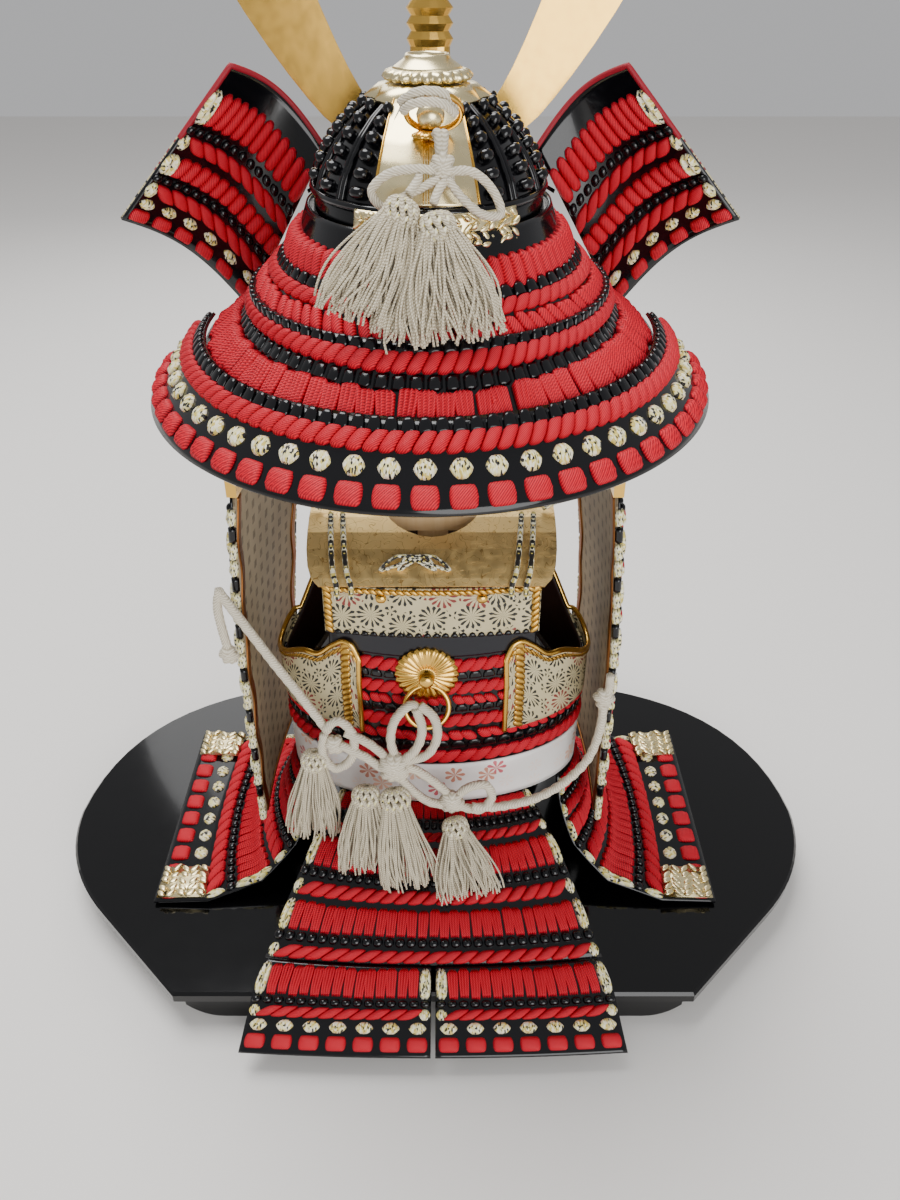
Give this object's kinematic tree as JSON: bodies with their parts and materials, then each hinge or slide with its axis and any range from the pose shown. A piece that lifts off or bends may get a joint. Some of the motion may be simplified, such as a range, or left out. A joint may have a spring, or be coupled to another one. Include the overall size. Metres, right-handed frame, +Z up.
{
  "type": "samurai armour on a display stand",
  "caption": "Reduced-size laced samurai armour set with horned helmet, cuirass, shoulder guards, skirts and cords, on an inner stand and a black lacquered board.",
  "frame": {"origin": "on the ground, at the centre of the whole set's outline", "axes": "+Z up; the armour faces -Y, so its laced back, ring and bow face +Y; +X is the wearer's left"},
  "size_m": [0.464, 0.316, 0.564],
  "materials": {
    "black_lacquer_board": "high-gloss black urushi-style lacquer over wood",
    "stand_wood": "smooth pale wood, satin",
    "white_brocade": "white figured silk with pink flowers",
    "red_laced_lames": "red silk braid laced over black lacquered scale boards",
    "printed_leather": "off-white leather printed with black and red chrysanthemums",
    "gilt_metal": "gold-plated brass, polished",
    "black_lacquer_iron": "gloss black lacquer on metal",
    "ivory_cord": "round braided ivory silk cord",
    "ivory_tassel": "ivory silk strands",
    "flecked_tie": "ivory cord with black flecks"
  },
  "bodies": {
    "root": {"lacquer_board": "black_lacquer_board", "board_foot_back_left": "black_lacquer_board", "board_foot_back_right": "black_lacquer_board", "board_foot_front_left": "black_lacquer_board", "board_foot_front_right": "black_lacquer_board", "display_stand": "stand_wood", "waist_band": "white_brocade", "cuirass_back": "red_laced_lames", "back_tasset": "red_laced_lames", "back_tasset_hem_left": "red_laced_lames", "back_tasset_hem_right": "red_laced_lames", "front_tasset": "red_laced_lames", "side_tasset_left": "red_laced_lames", "side_tasset_right": "red_laced_lames", "shoulder_guard_left": "red_laced_lames", "shoulder_guard_right": "red_laced_lames", "neck_guard_1": "red_laced_lames", "neck_guard_2": "red_laced_lames", "neck_guard_3": "red_laced_lames", "neck_guard_4": "red_laced_lames", "turned_back_wing_left": "red_laced_lames", "turned_back_wing_right": "red_laced_lames", "cuirass_front": "printed_leather", "side_plate_left": "printed_leather", "side_plate_right": "printed_leather", "back_plate": "printed_leather", "chest_plate": "printed_leather", "shoulder_plate": "gilt_metal", "back_boss": "gilt_metal", "back_ring": "gilt_metal", "shoulder_guard_plate_left": "gilt_metal", "shoulder_guard_plate_right": "gilt_metal", "bowl_back_plate": "gilt_metal", "band_ornament": "gilt_metal", "crown_ornament": "gilt_metal", "helmet_ring_boss": "gilt_metal", "helmet_ring": "gilt_metal", "horn_left": "gilt_metal", "horn_right": "gilt_metal", "horn_socket": "gilt_metal", "front_crest": "gilt_metal", "helmet_bowl": "black_lacquer_iron", "helmet_band": "black_lacquer_iron", "visor": "black_lacquer_iron", "back_bow": "ivory_cord", "guard_cord_left": "ivory_cord", "guard_cord_right": "ivory_cord", "helmet_bow": "ivory_cord", "shoulder_guard_tie_left": "ivory_cord", "shoulder_guard_tie_right": "ivory_cord", "back_tassel_left": "ivory_tassel", "back_tassel_middle": "ivory_tassel", "back_tassel_middle_left": "ivory_tassel", "back_tassel_right": "ivory_tassel", "helmet_tassel_left": "ivory_tassel", "helmet_tassel_right": "ivory_tassel", "shoulder_tie_left_outer": "flecked_tie", "shoulder_tie_left_inner": "flecked_tie", "shoulder_tie_right_inner": "flecked_tie", "shoulder_tie_right_outer": "flecked_tie"}
  },
  "joints": []
}
